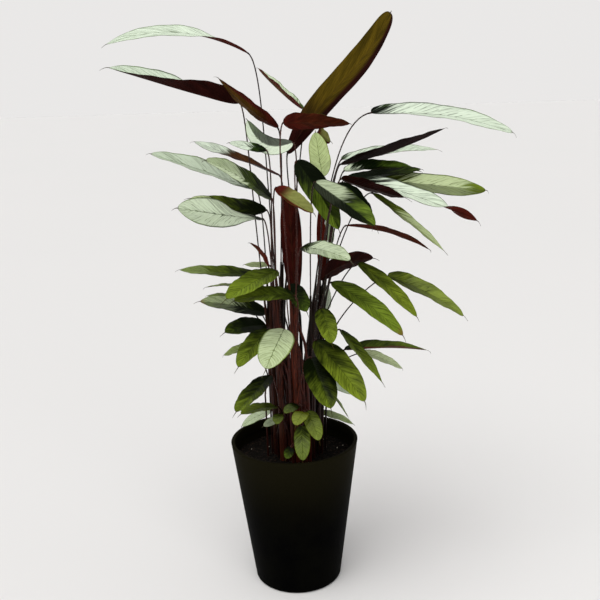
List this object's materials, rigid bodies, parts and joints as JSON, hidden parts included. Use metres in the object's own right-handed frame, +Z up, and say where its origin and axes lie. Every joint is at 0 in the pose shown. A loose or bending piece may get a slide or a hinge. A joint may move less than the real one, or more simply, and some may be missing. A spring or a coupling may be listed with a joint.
{
  "type": "potted calathea setosa",
  "caption": "Tall foliage plant of slender leafy shoots with long silver-green, wine-backed blades, standing in a tapered black plastic pot of soil.",
  "frame": {"origin": "centre of the pot's underside", "axes": "+Z up along the pot's axis, -Y towards the plant's open front, +X to its right"},
  "size_m": [0.759, 0.4212, 1.0624],
  "materials": {
    "pot_plastic": "satin black moulded plastic",
    "soil": "damp dark potting soil",
    "stalk": "dark wine-purple stalks with fine hairs",
    "blade": "satin leaf, silver-green above and wine red below"
  },
  "bodies": {
    "root": {"leaf_heart_1": "blade", "leaf_heart_2": "blade", "leaf_heart_3": "blade", "leaf_heart_4": "blade", "leaf_heart_5": "blade", "leaf_heart_7": "blade", "leaf_left_1": "blade", "leaf_left_2": "blade", "leaf_left_3": "blade", "leaf_left_4": "blade", "leaf_left_5": "blade", "leaf_low_left_1": "blade", "leaf_low_left_2": "blade", "leaf_low_left_3": "blade", "leaf_low_left_4": "blade", "leaf_low_left_5": "blade", "leaf_low_left_6": "blade", "leaf_low_left_7": "blade", "leaf_low_left_8": "blade", "leaf_low_left_9": "blade", "leaf_low_right_1": "blade", "leaf_low_right_2": "blade", "leaf_low_right_3": "blade", "leaf_low_right_4": "blade", "leaf_low_right_5": "blade", "leaf_low_right_6": "blade", "leaf_right_1": "blade", "leaf_right_10": "blade", "leaf_right_11": "blade", "leaf_right_2": "blade", "leaf_right_3": "blade", "leaf_right_4": "blade", "leaf_right_5": "blade", "leaf_right_6": "blade", "leaf_right_7": "blade", "leaf_right_9": "blade", "leaf_top_left_1": "blade", "leaf_top_left_2": "blade", "leaf_top_left_3": "blade", "leaf_top_left_4": "blade", "leaf_top_middle_1": "blade", "leaf_top_middle_2": "blade", "leaf_top_middle_3": "blade", "leaf_top_middle_4": "blade", "leaf_top_right_1": "blade", "leaf_top_right_2": "blade", "leaf_top_right_3": "blade", "pot": "pot_plastic", "shoot_back": "stalk", "shoot_back_right": "stalk", "shoot_front": "stalk", "shoot_front_left": "stalk", "shoot_front_right": "stalk", "shoot_left": "stalk", "shoot_middle": "stalk", "shoot_right": "stalk", "soil": "soil"}
  },
  "joints": []
}
